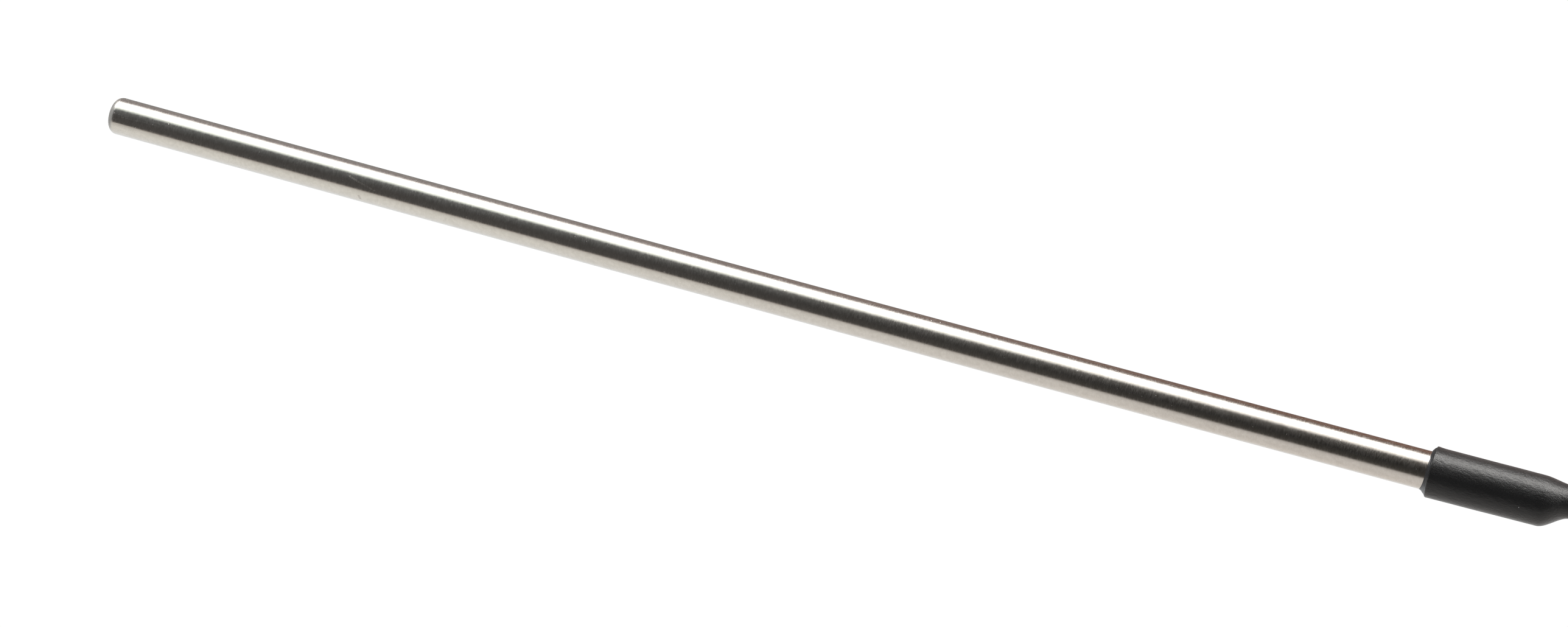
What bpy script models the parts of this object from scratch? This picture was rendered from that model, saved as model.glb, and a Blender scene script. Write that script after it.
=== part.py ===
"""Tube thermocouple: closed steel sheath, black heat-shrink sleeve and a thin black lead.

The origin is the middle of the tip's flat end face. +X runs along the sheath towards the lead,
and +Z is up. The probe lies on a surface at FLOOR_Z, where its lead is folded into a tied hank.
"""

import math

import bmesh
import bpy
from mathutils import Matrix, Vector

MM = 0.001
FIT_GAP = 0.05 * MM  # between round pieces that fit inside one another
FACE_GAP = 0.3 * MM  # between pieces that meet end to end

# Sheath
SHEATH_RADIUS = 3.0 * MM
SHEATH_BORE = 2.5 * MM
SHEATH_LENGTH = 235.0 * MM
TIP_CORNER = 1.3 * MM
TIP_WALL = 1.1 * MM
TIP_INNER_CORNER = 0.8 * MM
MOUTH_CHAMFER = 0.15 * MM

# Junction, wires and insulators
BEAD_RADIUS = 0.65 * MM
BEAD_X = 3.0 * MM
WIRE_RADIUS = 0.25 * MM
WIRE_SPREAD = 0.95 * MM
CEMENT_END = 5.9 * MM
INSULATOR_COUNT = 8
INSULATOR_LENGTH = 25.0 * MM
INSULATOR_RADIUS = 2.2 * MM
INSULATOR_BORE = 0.45 * MM
INSULATOR_START = 6.2 * MM

# Splices inside the back of the sheath
SPLICE_SPREAD = 1.2 * MM
BARREL_START = 213.0 * MM
BARREL_LENGTH = 6.0 * MM
BARREL_RADIUS = 0.85 * MM
BARREL_BORE = 0.55 * MM
BARREL_MIDDLE = BARREL_START + BARREL_LENGTH / 2
SPLICE_SLEEVE_START = 211.5 * MM
SPLICE_SLEEVE_LENGTH = 9.1 * MM
SPLICE_SLEEVE_RADIUS = 1.1 * MM
SPLICE_SLEEVE_BORE = 0.9 * MM
CONDUCTOR_RADIUS = 0.3 * MM
CORE_RADIUS = 0.55 * MM
CORE_START = 220.2 * MM
CORE_SPREAD = 0.58 * MM
SEAL_START = 228.0 * MM
SEAL_END = 234.9 * MM

# Lead, from inside the sheath to where the hank begins; it leaves the sheath off-centre
LEAD_RADIUS = 1.5 * MM
LEAD_START = 226.0 * MM
LEAD_IN_SLEEVE = [
    (226.0, 0.78, 0.18),
    (230.0, 0.78, 0.18),
    (234.0, 0.80, 0.20),
    (237.0, 1.02, 0.24),
    (240.0, 1.30, 0.26),
    (244.0, 1.62, 0.24),
    (248.0, 2.00, 0.14),
    (252.0, 2.50, -0.05),
]
LEAD_TO_HANK = [
    (252.0, 2.50, -0.05),
    (256.0, 3.15, -0.40),
    (260.0, 4.05, -0.95),
    (264.0, 5.30, -1.55),
    (268.0, 7.00, -2.10),
    (271.0, 8.45, -2.40),
    (274.5, 9.95, -2.43),
]

# Heat-shrink sleeve and its hot-melt liner
SLEEVE_START = 218.1 * MM
SLEEVE_END = 252.0 * MM
SLEEVE_RADIUS_AT_MOUTH = 3.93 * MM
SLEEVE_RADIUS_AT_SHOULDER = 3.87 * MM
NECK_RADIUS_AT_SHOULDER = 2.37 * MM
NECK_RADIUS = 2.30 * MM
NECK_SETTLES = 5.0 * MM
SHOULDER_START = 234.57 * MM
SHOULDER_LENGTH = 5.4 * MM
SLEEVE_LEAN_AT_MOUTH = 0.16 * MM
SLEEVE_LEAN_AT_SHOULDER = 0.39 * MM
SLEEVE_WALL = 0.30 * MM
LINER_START = 217.25 * MM
LINER_END = SLEEVE_END - 0.4 * MM
LINER_STEP = 1.3 * MM

FLOOR_Z = -SLEEVE_RADIUS_AT_MOUTH

# Hank: the lead goes round two far-apart folds, and a tie draws its sides together in the middle
FOLD_RADIUS = 12.2 * MM
HANK_START_FOLD = 286.0 * MM
HANK_RUN = 57.0 * MM
WAIST_HALF_WIDTH = 4.8 * MM
HANK_LAYERS = 4
LAYER_PITCH = 3.05 * MM

# Cable tie round the hank's waist
TIE_WIDTH = 2.6 * MM
TIE_THICKNESS = 0.9 * MM
TIE_CORNER = 0.3 * MM
TIE_HEAD = (4.4 * MM, 5.0 * MM, 3.2 * MM)
TIE_TAIL = (1.6 * MM, 5.0 * MM, 0.9 * MM)

# The lead's free end, beside the hank
TAIL_Y = -FOLD_RADIUS
TAIL_HEIGHT = FLOOR_Z + LEAD_RADIUS
TAIL_FROM = 276.8 * MM
JACKET_END = 270.0 * MM
TAIL_CORE_LENGTH = 11.0 * MM
TAIL_CORE_SPLAY = 1.3 * MM
COLLAR_LENGTH = 5.0 * MM
COLLAR_RADIUS = 1.0 * MM
FERRULE_LENGTH = 6.0 * MM
FERRULE_RADIUS = 0.55 * MM
FERRULE_BORE = 0.35 * MM

ROUND = 40  # sides of the large round pieces
SMALL_ROUND = 16
STEP_ALONG_LEAD = 0.5 * MM


# --- materials ---------------------------------------------------------------


def finish(name, color, roughness, metallic=0.0):
    material = bpy.data.materials.new(name)
    material.use_nodes = True
    shader = material.node_tree.nodes["Principled BSDF"]
    shader.inputs["Base Color"].default_value = (*color, 1.0)
    shader.inputs["Roughness"].default_value = roughness
    shader.inputs["Metallic"].default_value = metallic
    return material


# --- shared shapes -----------------------------------------------------------


def named_object(name, mesh, material, at=(0.0, 0.0, 0.0)):
    mesh.shade_smooth()
    mesh.set_sharp_from_angle(angle=math.radians(35))
    piece = bpy.data.objects.new(name, mesh)
    piece.location = at
    piece.data.materials.append(material)
    bpy.context.scene.collection.objects.link(piece)
    return piece


def finished_mesh(name, bm):
    bmesh.ops.recalc_face_normals(bm, faces=bm.faces)
    mesh = bpy.data.meshes.new(name)
    bm.to_mesh(mesh)
    bm.free()
    return mesh


def quarter_round(centre_x, centre_r, radius, start, end, steps=6):
    """Points (x, r) on an arc of a profile, with its angles in degrees from +X."""
    angles = [math.radians(start + (end - start) * i / steps) for i in range(steps + 1)]
    return [(centre_x + radius * math.cos(a), centre_r + radius * math.sin(a)) for a in angles]


def turned(name, profile, material, sides=ROUND, at=(0.0, 0.0, 0.0)):
    """A closed profile of (x, r) points, spun round the X axis."""
    bm = bmesh.new()
    points = [bm.verts.new((x, 0.0, r)) for x, r in profile]
    edges = [bm.edges.new(pair) for pair in zip(points, points[1:] + points[:1])]
    bmesh.ops.spin(
        bm, geom=points + edges, cent=(0, 0, 0), axis=(1, 0, 0),
        angle=math.tau, steps=sides, use_merge=True,
    )
    bmesh.ops.remove_doubles(bm, verts=bm.verts, dist=1e-7)
    bmesh.ops.dissolve_degenerate(bm, edges=bm.edges, dist=1e-7)
    return named_object(name, finished_mesh(name, bm), material, at)


def hollow_bar(name, start, end, radius, bore, material, at=(0.0, 0.0, 0.0), sides=SMALL_ROUND):
    profile = [(start, bore), (start, radius), (end, radius), (end, bore)]
    return turned(name, profile, material, sides, at)


def ring(bm, x, y, z, radius, sides=ROUND):
    across = Matrix.Translation((x, y, z)) @ Matrix.Rotation(math.radians(90), 4, "Y")
    made = bmesh.ops.create_circle(bm, segments=sides, radius=radius, matrix=across)
    corners = made["verts"]
    return [e for e in bm.edges if e.verts[0] in corners and e.verts[1] in corners]


def lofted(name, rings, material):
    """A tube wall through rings of (x, y, z, radius), the last one joined to the first."""
    bm = bmesh.new()
    loops = [ring(bm, *r) for r in rings]
    for here, there in zip(loops, loops[1:] + loops[:1]):
        bmesh.ops.bridge_loops(bm, edges=here + there)
    return named_object(name, finished_mesh(name, bm), material)


def smooth_through(points, spacing):
    """Points along a Catmull-Rom curve through points given in millimetres."""
    knots = [Vector(p) * MM for p in points]
    knots = [2 * knots[0] - knots[1], *knots, 2 * knots[-1] - knots[-2]]
    path = []
    for a, b, c, d in zip(knots, knots[1:], knots[2:], knots[3:]):
        steps = max(1, round((c - b).length / spacing))
        for i in range(steps):
            t = i / steps
            path.append(
                0.5 * (2 * b + (c - a) * t + (2 * a - 5 * b + 4 * c - d) * t**2
                       + (3 * b - a - 3 * c + d) * t**3)
            )
    return [*path, knots[-2]]


def round_wire(name, points, radius, material, resolution=2):
    """A tube with filled ends along the points."""
    curve = bpy.data.curves.new(name, "CURVE")
    curve.dimensions = "3D"
    curve.bevel_depth = radius
    curve.bevel_resolution = resolution
    curve.use_fill_caps = True
    spline = curve.splines.new("POLY")
    spline.points.add(len(points) - 1)
    for spot, point in zip(spline.points, points):
        spot.co = (*point, 1.0)
    curve.materials.append(material)
    piece = bpy.data.objects.new(name, curve)
    bpy.context.scene.collection.objects.link(piece)
    return piece


def cutter(name, mesh, at=(0.0, 0.0, 0.0)):
    tool = bpy.data.objects.new(name, mesh)
    tool.location = at
    tool.hide_render = True
    tool.display_type = "WIRE"
    bpy.context.scene.collection.objects.link(tool)
    return tool


def boolean(piece, tool, operation):
    change = piece.modifiers.new(tool.name, "BOOLEAN")
    change.operation = operation
    change.object = tool


def extruded(name, outline, depth_vector, holes=()):
    """A closed outline of 3-D points, with holes, filled and extruded along a vector."""
    bm = bmesh.new()
    edges = []
    for loop in (outline, *holes):
        corners = [bm.verts.new(p) for p in loop]
        edges += [bm.edges.new(pair) for pair in zip(corners, corners[1:] + corners[:1])]
    bmesh.ops.triangle_fill(bm, use_beauty=True, use_dissolve=False, edges=edges)
    copied = bmesh.ops.extrude_face_region(bm, geom=list(bm.faces), use_keep_orig=True)
    moved = [v for v in copied["geom"] if isinstance(v, bmesh.types.BMVert)]
    bmesh.ops.translate(bm, vec=depth_vector, verts=moved)
    return finished_mesh(name, bm)


def circle_points(x, y, radius, sides):
    turns = [math.tau * i / sides for i in range(sides)]
    return [(x, y + radius * math.cos(a), radius * math.sin(a)) for a in turns]


# --- sheath and what it holds ------------------------------------------------


def tip_profile(wall_offset):
    """The bore's closed end, from its middle out to the bore, drawn in by wall_offset."""
    corner = TIP_INNER_CORNER - wall_offset
    centre_x = TIP_WALL + TIP_INNER_CORNER
    centre_r = SHEATH_BORE - TIP_INNER_CORNER
    return [(TIP_WALL + wall_offset, 0.0), *quarter_round(centre_x, centre_r, corner, 180, 90)]


def sheath_tube(steel):
    outside = [
        (0.0, 0.0),
        *quarter_round(TIP_CORNER, SHEATH_RADIUS - TIP_CORNER, TIP_CORNER, 180, 90),
        (SHEATH_LENGTH - MOUTH_CHAMFER, SHEATH_RADIUS),
        (SHEATH_LENGTH, SHEATH_RADIUS - MOUTH_CHAMFER),
    ]
    inside = [(SHEATH_LENGTH, SHEATH_BORE), *reversed(tip_profile(0.0))]
    return turned("sheath_tube", outside + inside, steel)


def tip_cement(cement):
    profile = [*tip_profile(FIT_GAP), (CEMENT_END, SHEATH_BORE - FIT_GAP), (CEMENT_END, 0.0)]
    plug = turned("tip_cement", profile, cement, sides=32)
    room = 0.1 * MM
    ball = bmesh.new()
    bmesh.ops.create_uvsphere(ball, u_segments=16, v_segments=10, radius=BEAD_RADIUS + room)
    boolean(plug, cutter("bead_pocket", finished_mesh("bead_pocket", ball), (BEAD_X, 0, 0)),
            "DIFFERENCE")
    near, far = 0.70 * MM, WIRE_SPREAD + WIRE_RADIUS + room
    deep = WIRE_RADIUS + room
    past_end = CEMENT_END + MM
    slot = [(BEAD_X, -near, -deep), (BEAD_X, near, -deep), (past_end, far, -deep),
            (past_end, -far, -deep)]
    boolean(plug, cutter("wire_slot", extruded("wire_slot", slot, (0, 0, 2 * deep))),
            "DIFFERENCE")


def hot_junction(bead_metal):
    ball = bmesh.new()
    bmesh.ops.create_uvsphere(ball, u_segments=16, v_segments=10, radius=BEAD_RADIUS)
    named_object("hot_junction", finished_mesh("hot_junction", ball), bead_metal, (BEAD_X, 0, 0))


def thermoelement(name, side, metal):
    """One bare wire, from the bead through every insulator into its crimp barrel."""
    stops = [(3.75, 0.35), (6.0, 0.95), (208.6, 0.95), (212.0, 1.2), (215.7, 1.2)]
    points = [Vector((x * MM, side * y * MM, 0.0)) for x, y in stops]
    round_wire(name, points, WIRE_RADIUS, metal)


def ceramic_insulators(ceramic):
    outline = circle_points(0.0, 0.0, INSULATOR_RADIUS, 28)
    bores = [circle_points(0.0, side * WIRE_SPREAD, INSULATOR_BORE, 12) for side in (-1, 1)]
    shared = extruded("twin_bore_insulator", outline, (INSULATOR_LENGTH, 0, 0), holes=bores)
    for i in range(INSULATOR_COUNT):
        start = INSULATOR_START + i * (INSULATOR_LENGTH + 0.1 * MM)
        named_object(f"ceramic_insulator_{i + 1}", shared, ceramic, (start, 0, 0))


def splice(polarity, side, brass, sleeving, copper, insulation):
    """One crimped joint between a thermoelement and a core of the lead."""
    place = (0.0, side * SPLICE_SPREAD, 0.0)
    hollow_bar(f"splice_barrel_{polarity}", BARREL_START, BARREL_START + BARREL_LENGTH,
               BARREL_RADIUS, BARREL_BORE, brass, place)
    hollow_bar(f"splice_sleeve_{polarity}", SPLICE_SLEEVE_START,
               SPLICE_SLEEVE_START + SPLICE_SLEEVE_LENGTH,
               SPLICE_SLEEVE_RADIUS, SPLICE_SLEEVE_BORE, sleeving, place)
    conductor = [Vector((BARREL_MIDDLE + 0.4 * MM, side * SPLICE_SPREAD, 0.0)),
                 Vector((CORE_START - 0.1 * MM, side * SPLICE_SPREAD, 0.0))]
    round_wire(f"conductor_{polarity}", conductor, CONDUCTOR_RADIUS, copper)
    _, lead_y, lead_z = LEAD_IN_SLEEVE[0]
    end_y = lead_y + side * CORE_SPREAD / MM
    start_y = side * SPLICE_SPREAD / MM
    stops = [(CORE_START / MM, start_y, 0.0), (CORE_START / MM + 1.0, start_y, 0.0),
             (LEAD_START / MM - 1.5, end_y, lead_z), (LEAD_START / MM - 0.1, end_y, lead_z)]
    round_wire(f"core_{polarity}", smooth_through(stops, 0.8 * MM), CORE_RADIUS, insulation)


def tube_end_seal(resin):
    """The potting that closes the sheath round the off-centre lead."""
    _, y, z = LEAD_IN_SLEEVE[1]
    hole = (y * MM, z * MM, LEAD_RADIUS + FIT_GAP)
    shell = (0.0, 0.0, SHEATH_BORE - FIT_GAP)
    lofted("tube_end_seal", [(SEAL_START, *shell), (SEAL_END, *shell),
                             (SEAL_END, *hole), (SEAL_START, *hole)], resin)


# --- lead, sleeve and liner --------------------------------------------------


def at_x(path, x):
    """Where a path that always runs forward reaches x."""
    for a, b in zip(path, path[1:]):
        if a.x <= x <= b.x:
            return a.lerp(b, (x - a.x) / (b.x - a.x))
    return path[0] if x < path[0].x else path[-1]


def shoulder(x):
    """0 on the sheath, 1 on the neck, and a smooth step between."""
    t = min(1.0, max(0.0, (x - SHOULDER_START) / SHOULDER_LENGTH))
    return t * t * (3 - 2 * t)


def sleeve_centre(x, lead_path):
    along = min(1.0, (x - SLEEVE_START) / (SHOULDER_START - SLEEVE_START))
    lean = SLEEVE_LEAN_AT_MOUTH + (SLEEVE_LEAN_AT_SHOULDER - SLEEVE_LEAN_AT_MOUTH) * along
    lead = at_x(lead_path, x)
    step = shoulder(x)
    return lean * (1 - step) + lead.y * step, lead.z * step


def sleeve_radius(x):
    along = min(1.0, max(0.0, (x - SLEEVE_START) / (SHOULDER_START - SLEEVE_START)))
    body = SLEEVE_RADIUS_AT_MOUTH + (SLEEVE_RADIUS_AT_SHOULDER - SLEEVE_RADIUS_AT_MOUTH) * along
    past = max(0.0, x - SHOULDER_START - SHOULDER_LENGTH)
    neck = NECK_RADIUS + (NECK_RADIUS_AT_SHOULDER - NECK_RADIUS) * math.exp(-past / NECK_SETTLES)
    step = shoulder(x)
    return body * (1 - step) + neck * step


def evenly(start, end, count):
    return [start + (end - start) * i / count for i in range(count + 1)]


def sleeve_stations(start, end):
    """Where the sleeve and its liner get a ring: close together on the shoulder."""
    bend = evenly(SHOULDER_START, SHOULDER_START + SHOULDER_LENGTH, 11)
    neck = evenly(bend[-1], end, 6)
    return [start, *bend, *neck[1:]]


def heat_shrink_sleeve(rubber, lead_path):
    def rings(stations, inset):
        return [(x, *sleeve_centre(x, lead_path), sleeve_radius(x) - inset) for x in stations]

    rim = 0.12 * MM
    stations = sleeve_stations(SLEEVE_START, SLEEVE_END)
    outer = rings(stations, 0.0)
    inner = rings([SLEEVE_START - rim, *stations[1:]], SLEEVE_WALL)
    lofted("heat_shrink_sleeve", outer + inner[::-1], rubber)


def adhesive_liner(adhesive, lead_path):
    """Fills the space between the sleeve and what it grips, and swells out at the mouth."""
    inset = SLEEVE_WALL + FIT_GAP
    stations = sleeve_stations(SLEEVE_START - 0.2 * MM, LINER_END)
    outer = [(x, *sleeve_centre(x, lead_path), sleeve_radius(x) - inset) for x in stations]
    on_sheath = SHEATH_RADIUS + FIT_GAP
    past_sheath = SHEATH_LENGTH + 0.1 * MM
    on_lead = [
        (p.x, p.y, p.z, LEAD_RADIUS + FIT_GAP)
        for p in (at_x(lead_path, x) for x in evenly(past_sheath + LINER_STEP, LINER_END, 6))
    ]
    inner = [(LINER_START, 0.0, 0.0, on_sheath), (past_sheath, 0.0, 0.0, on_sheath), *on_lead]
    lofted("adhesive_liner", outer + inner[::-1], adhesive)


def lead_pieces(jacket, lead_path):
    held = [p for p in lead_path if p.x < SLEEVE_END - FACE_GAP]
    held = [*held[::4], at_x(lead_path, SLEEVE_END - FACE_GAP)]
    round_wire("lead_entry", held, LEAD_RADIUS, jacket, resolution=3)
    route = smooth_through(LEAD_TO_HANK, 2 * LEAD_RADIUS)
    round_wire("lead_run", route, LEAD_RADIUS, jacket)
    end = [Vector((x, TAIL_Y, TAIL_HEIGHT)) for x in (TAIL_FROM, JACKET_END)]
    round_wire("lead_tail", end, LEAD_RADIUS, jacket)


# --- hank, tie and the lead's free end ---------------------------------------


def hank_half_width(x):
    """Half the hank's width: drawn in at the middle of its run, full at the folds."""
    t = (x - HANK_START_FOLD) / HANK_RUN
    waist = (1 - math.cos(math.tau * t)) / 2
    return FOLD_RADIUS + (WAIST_HALF_WIDTH - FOLD_RADIUS) * waist + LEAD_RADIUS


def lead_hank(jacket):
    bottom = FLOOR_Z + TIE_THICKNESS + FACE_GAP
    height = (HANK_LAYERS - 1) * LAYER_PITCH + 2 * LEAD_RADIUS
    end_fold = HANK_START_FOLD + HANK_RUN
    side = evenly(HANK_START_FOLD, end_fold, 16)
    outline = [(x, hank_half_width(x)) for x in side]
    turn = [math.radians(a) for a in evenly(90, -90, 14)[1:-1]]
    fold = FOLD_RADIUS + LEAD_RADIUS
    outline += [(end_fold + fold * math.cos(a), fold * math.sin(a)) for a in turn]
    outline += [(x, -hank_half_width(x)) for x in reversed(side)]
    outline += [(HANK_START_FOLD - fold * math.cos(a), -fold * math.sin(a)) for a in turn]
    points = [(x, y, bottom) for x, y in outline]
    named_object("lead_hank", extruded("lead_hank", points, (0, 0, height)), jacket)


def rounded_rectangle(x, width, low, high, corner, steps=4):
    """Points round a rectangle that stands across X, centred on y = 0."""
    centres = [(width / 2 - corner, high - corner, 0), (corner - width / 2, high - corner, 90),
               (corner - width / 2, low + corner, 180), (width / 2 - corner, low + corner, 270)]
    points = []
    for y, z, start in centres:
        for a in evenly(start, start + 90, steps):
            turn = math.radians(a)
            points.append((x, y + corner * math.cos(turn), z + corner * math.sin(turn)))
    return points


def box_mesh(name, size):
    bm = bmesh.new()
    bmesh.ops.create_cube(bm, size=1.0, matrix=Matrix.Diagonal((*size, 1.0)))
    return finished_mesh(name, bm)


def hank_tie(plastic):
    middle = HANK_START_FOLD + HANK_RUN / 2
    start = middle - TIE_WIDTH / 2
    low = FLOOR_Z + TIE_THICKNESS
    top = low + 2 * FACE_GAP + (HANK_LAYERS - 1) * LAYER_PITCH + 2 * LEAD_RADIUS
    width = 2 * (WAIST_HALF_WIDTH + LEAD_RADIUS + FACE_GAP)
    inside = rounded_rectangle(start, width, low, top, TIE_CORNER)
    outside = rounded_rectangle(
        start, width + 2 * TIE_THICKNESS, FLOOR_Z, top + TIE_THICKNESS, TIE_CORNER + TIE_THICKNESS
    )
    band = extruded("hank_tie", outside, (TIE_WIDTH, 0, 0), holes=[inside])
    tie = named_object("hank_tie", band, plastic)
    sunk = 0.3 * MM
    head_z = top + sunk + TIE_HEAD[2] / 2
    boolean(tie, cutter("tie_head", box_mesh("tie_head", TIE_HEAD), (middle, 0, head_z)), "UNION")
    tail_y = -(TIE_HEAD[1] + TIE_TAIL[1]) / 2 + sunk
    tail_z = top + TIE_THICKNESS + FACE_GAP + TIE_TAIL[2]
    boolean(tie, cutter("tie_tail", box_mesh("tie_tail", TIE_TAIL), (middle, tail_y, tail_z)),
            "UNION")


def tail_end(polarity, side, insulation, collar_plastic, tinned):
    """One bared core of the lead, with its crimped ferrule, lying on the surface."""
    start_x = JACKET_END - 0.1 * MM
    end_x = start_x - TAIL_CORE_LENGTH
    start_y = TAIL_Y + side * CORE_SPREAD
    end_y = TAIL_Y + side * TAIL_CORE_SPLAY
    low = FLOOR_Z + COLLAR_RADIUS
    stops = [(start_x, start_y, TAIL_HEIGHT), (start_x - 2 * MM, start_y, TAIL_HEIGHT),
             (end_x + 3 * MM, end_y, low), (end_x, end_y, low)]
    path = smooth_through([tuple(v / MM for v in stop) for stop in stops], 1.2 * MM)
    round_wire(f"tail_core_{polarity}", path, CORE_RADIUS, insulation)
    collar_end = end_x - 0.1 * MM
    collar_start = collar_end - COLLAR_LENGTH
    place = (0.0, end_y, low)
    lip = 0.2 * MM
    profile = [
        (collar_end, CORE_RADIUS), (collar_end, COLLAR_RADIUS),
        (collar_start + 2 * MM, COLLAR_RADIUS), (collar_start, COLLAR_RADIUS - lip),
        (collar_start, FERRULE_RADIUS - lip),
    ]
    turned(f"ferrule_collar_{polarity}", profile, collar_plastic, SMALL_ROUND, place)
    tube_end = collar_start - 0.1 * MM
    hollow_bar(f"ferrule_{polarity}", tube_end - FERRULE_LENGTH, tube_end,
               FERRULE_RADIUS, FERRULE_BORE, tinned, place)


# --- the whole object --------------------------------------------------------


def build():
    steel = finish("stainless", (0.62, 0.60, 0.57), 0.22, 1.0)
    wire_metal = {"positive": finish("iron_wire", (0.42, 0.41, 0.40), 0.4, 1.0),
                  "negative": finish("constantan_wire", (0.55, 0.50, 0.44), 0.35, 1.0)}
    cement = finish("cement", (0.72, 0.70, 0.64), 0.9)
    ceramic = finish("ceramic", (0.86, 0.83, 0.76), 0.7)
    brass = finish("tinned_copper", (0.70, 0.68, 0.64), 0.35, 1.0)
    sleeving = finish("clear_sleeving", (0.70, 0.66, 0.52), 0.5)
    resin = finish("potting_resin", (0.05, 0.05, 0.05), 0.4)
    adhesive = finish("hot_melt", (0.06, 0.06, 0.065), 0.35)
    rubber = finish("shrink_black", (0.02, 0.02, 0.021), 0.5)
    jacket = finish("lead_black", (0.018, 0.018, 0.018), 0.55)
    plastic = finish("tie_black", (0.03, 0.03, 0.03), 0.45)
    insulation = {"positive": finish("core_black", (0.02, 0.02, 0.02), 0.5),
                  "negative": finish("core_white", (0.80, 0.79, 0.76), 0.5)}

    lead_path = smooth_through(LEAD_IN_SLEEVE, STEP_ALONG_LEAD)
    sheath_tube(steel)
    tip_cement(cement)
    hot_junction(wire_metal["positive"])
    ceramic_insulators(ceramic)
    for polarity, side in (("positive", 1), ("negative", -1)):
        thermoelement(f"thermoelement_{polarity}", side, wire_metal[polarity])
        splice(polarity, side, brass, sleeving, wire_metal[polarity], insulation[polarity])
        tail_end(polarity, side, insulation[polarity], insulation[polarity], brass)
    tube_end_seal(resin)
    adhesive_liner(adhesive, lead_path)
    heat_shrink_sleeve(rubber, lead_path)
    lead_pieces(jacket, lead_path)
    lead_hank(jacket)
    hank_tie(plastic)


for old in list(bpy.data.objects):
    bpy.data.objects.remove(old)
build()
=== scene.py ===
# %% [markdown]
# # A tube thermocouple
#
# The object is a straight steel tube with a closed tip. A black heat-shrink sleeve covers its
# back end and grips a thin black lead. This lesson builds its looks in Blender, around solids
# that already have the right sizes and places. It starts with those solids and the camera.

# %% Load the solids
import math

import bmesh
import bpy
from mathutils import Matrix, Vector, noise


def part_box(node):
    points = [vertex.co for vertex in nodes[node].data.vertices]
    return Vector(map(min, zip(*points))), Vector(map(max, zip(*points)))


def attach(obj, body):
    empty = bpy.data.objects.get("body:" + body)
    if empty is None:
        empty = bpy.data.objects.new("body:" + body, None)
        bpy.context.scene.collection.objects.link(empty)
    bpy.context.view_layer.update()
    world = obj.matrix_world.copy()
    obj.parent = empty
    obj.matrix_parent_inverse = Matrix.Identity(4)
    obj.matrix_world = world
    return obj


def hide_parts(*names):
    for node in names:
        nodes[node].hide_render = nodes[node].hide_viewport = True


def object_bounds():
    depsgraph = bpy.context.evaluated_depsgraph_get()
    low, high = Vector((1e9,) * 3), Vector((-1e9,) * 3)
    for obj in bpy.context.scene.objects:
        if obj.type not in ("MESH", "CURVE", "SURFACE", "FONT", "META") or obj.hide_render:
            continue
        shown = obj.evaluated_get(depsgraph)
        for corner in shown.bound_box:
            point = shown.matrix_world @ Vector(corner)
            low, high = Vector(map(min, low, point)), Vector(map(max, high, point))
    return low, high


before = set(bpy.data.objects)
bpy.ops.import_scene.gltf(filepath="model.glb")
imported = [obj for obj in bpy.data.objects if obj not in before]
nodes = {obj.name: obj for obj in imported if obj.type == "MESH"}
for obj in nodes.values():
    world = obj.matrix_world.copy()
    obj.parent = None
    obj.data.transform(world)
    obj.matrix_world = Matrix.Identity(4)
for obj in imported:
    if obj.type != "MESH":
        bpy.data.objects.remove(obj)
solid_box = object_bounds()
print("solids:", len(nodes), "box:", [list(corner) for corner in solid_box])

# %% [markdown]
# Most numbers here are tenths of a millimetre to a few hundred millimetres, while Blender works
# in metres. One constant keeps them readable. The main places come from the solids' own boxes.

# %% Main places
MM = 0.001
sheath_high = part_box("sheath_tube")[1]
sleeve_low, sleeve_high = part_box("heat_shrink_sleeve")
SHEATH_END = sheath_high[0]
SHEATH_RADIUS = sheath_high[2]
SLEEVE_START = sleeve_low[0]
SLEEVE_END = sleeve_high[0]
FLOOR = solid_box[0][2]
print(f"sheath {SHEATH_END / MM:.1f} mm long, {2 * SHEATH_RADIUS / MM:.1f} mm across")
print(f"floor at {FLOOR / MM:.2f} mm")

# %% [markdown]
# ## The camera
#
# A product picture of a long thin thing is usually taken with a long lens from above, so that
# its sides stay almost parallel. The camera is level and looks down steeply, and the probe is
# turned on the table, which makes it run downhill across the picture.

# %% Camera
VIEW_DISTANCE = 0.6768
VIEW_DOWN = 49.53
VIEW_TURN = 19.69
AIM = Vector((0.11542, -0.00179, -0.00162))

lens = bpy.data.cameras.new("camera")
lens.lens = 100.0
lens.sensor_width = 36.0
lens.clip_start = 0.01
camera = bpy.data.objects.new("camera", lens)
camera.rotation_euler = (math.radians(90 - VIEW_DOWN), 0.0, math.radians(VIEW_TURN))
away = camera.rotation_euler.to_matrix() @ Vector((0.0, 0.0, 1.0))
camera.location = AIM + away * VIEW_DISTANCE
bpy.context.scene.collection.objects.link(camera)
bpy.context.scene.camera = camera
print("camera at", [round(v, 4) for v in camera.location])

# %% [markdown]
# ## Turned and drawn shapes
#
# Nearly everything on this probe is round. A turned piece comes from one closed outline that is
# spun round the X axis. The sleeve and its liner are not quite round or straight, so they are
# drawn through rings of points instead, which leaves each point free to move.

# %% Shape helpers
def piece_from(name, bm, stands_for, sharp=35.0):
    """Turns a bmesh into a piece that rides with the probe and stands for its solids."""
    bmesh.ops.recalc_face_normals(bm, faces=bm.faces)
    mesh = bpy.data.meshes.new(name)
    bm.to_mesh(mesh)
    bm.free()
    mesh.shade_smooth()
    mesh.set_sharp_from_angle(angle=math.radians(sharp))
    piece = bpy.data.objects.new(name, mesh)
    bpy.context.scene.collection.objects.link(piece)
    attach(piece, "root")
    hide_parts(*stands_for)
    print(f"{name}: {len(mesh.polygons)} faces")
    return piece


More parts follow.
